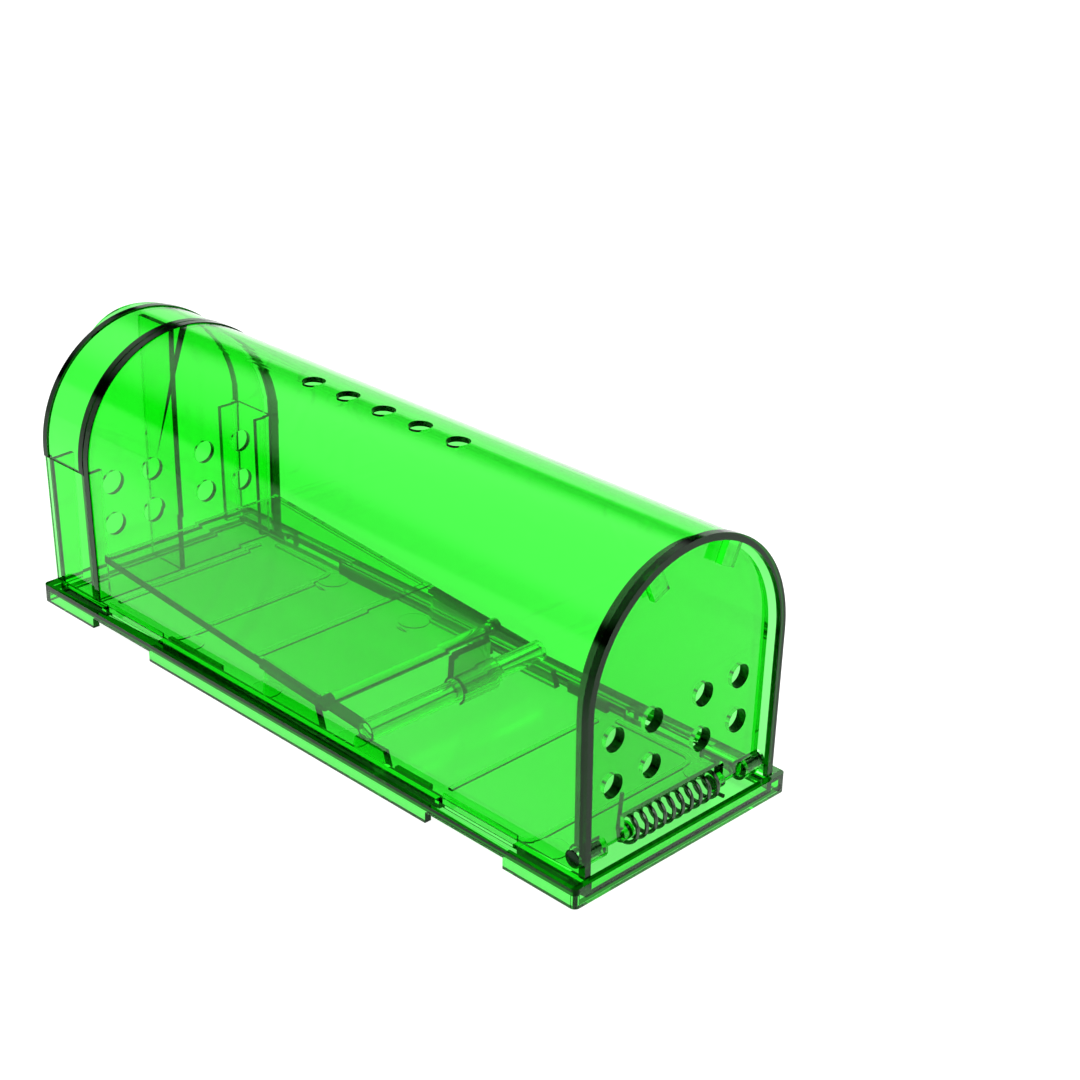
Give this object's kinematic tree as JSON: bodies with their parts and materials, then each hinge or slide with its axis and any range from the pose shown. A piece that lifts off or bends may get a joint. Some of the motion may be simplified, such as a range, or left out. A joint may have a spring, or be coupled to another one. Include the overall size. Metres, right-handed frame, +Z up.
{
  "type": "live catch mouse trap",
  "caption": "Clear green tunnel trap that catches a mouse alive: sprung door folded inwards, tipping treadle with a catch, and a lift-off bait hatch behind a perforated wall.",
  "frame": {"origin": "middle of the footprint on the surface the trap stands on", "axes": "+Y along the tunnel towards the bait end, with the door at -Y; +X across to the right as seen from the door; +Z up"},
  "size_m": [0.06, 0.1724, 0.0643],
  "materials": {
    "tray_plastic": "clear green moulded plastic, glossy",
    "cover_plastic": "clear green moulded plastic, glossy",
    "door_plastic": "clear green moulded plastic, glossy",
    "treadle_plastic": "clear green moulded plastic, glossy",
    "catch_plastic": "clear green moulded plastic, glossy",
    "hatch_plastic": "clear green moulded plastic, glossy",
    "steel": "bright drawn wire and rod"
  },
  "bodies": {
    "tray": {"base_tray": "tray_plastic", "scent_wall": "hatch_plastic"},
    "cover": {"tunnel_cover": "cover_plastic", "door_spring": "steel"},
    "door": {"door_panel": "door_plastic", "hinge_pin_left": "steel", "hinge_pin_right": "steel"},
    "treadle": {"treadle_plate": "treadle_plastic", "counterweight_rod": "steel", "catch_hook": "catch_plastic"},
    "hatch": {"bait_hatch": "hatch_plastic"}
  },
  "joints": [
    {"name": "cover_lift", "type": "slide", "parent": "tray", "child": "cover", "axis": [0, 0, 1], "range_m": [0, 0.07]},
    {"name": "door_swing", "type": "hinge", "parent": "cover", "child": "door", "pos_m": [0, -0.08195, 0.0074], "axis": [-1, 0, 0], "range_deg": [0, 90], "stiffness_Nm_per_rad": 0.003, "springref_deg": -34.38, "deforming": ["door_spring"]},
    {"name": "treadle_tip", "type": "hinge", "parent": "tray", "child": "treadle", "pos_m": [0, 0.00915, 0.009], "axis": [-1, 0, 0], "range_deg": [0, 11.4]},
    {"name": "hatch_lift", "type": "slide", "parent": "tray", "child": "hatch", "axis": [0, 0, 1], "range_m": [0, 0.06]}
  ]
}
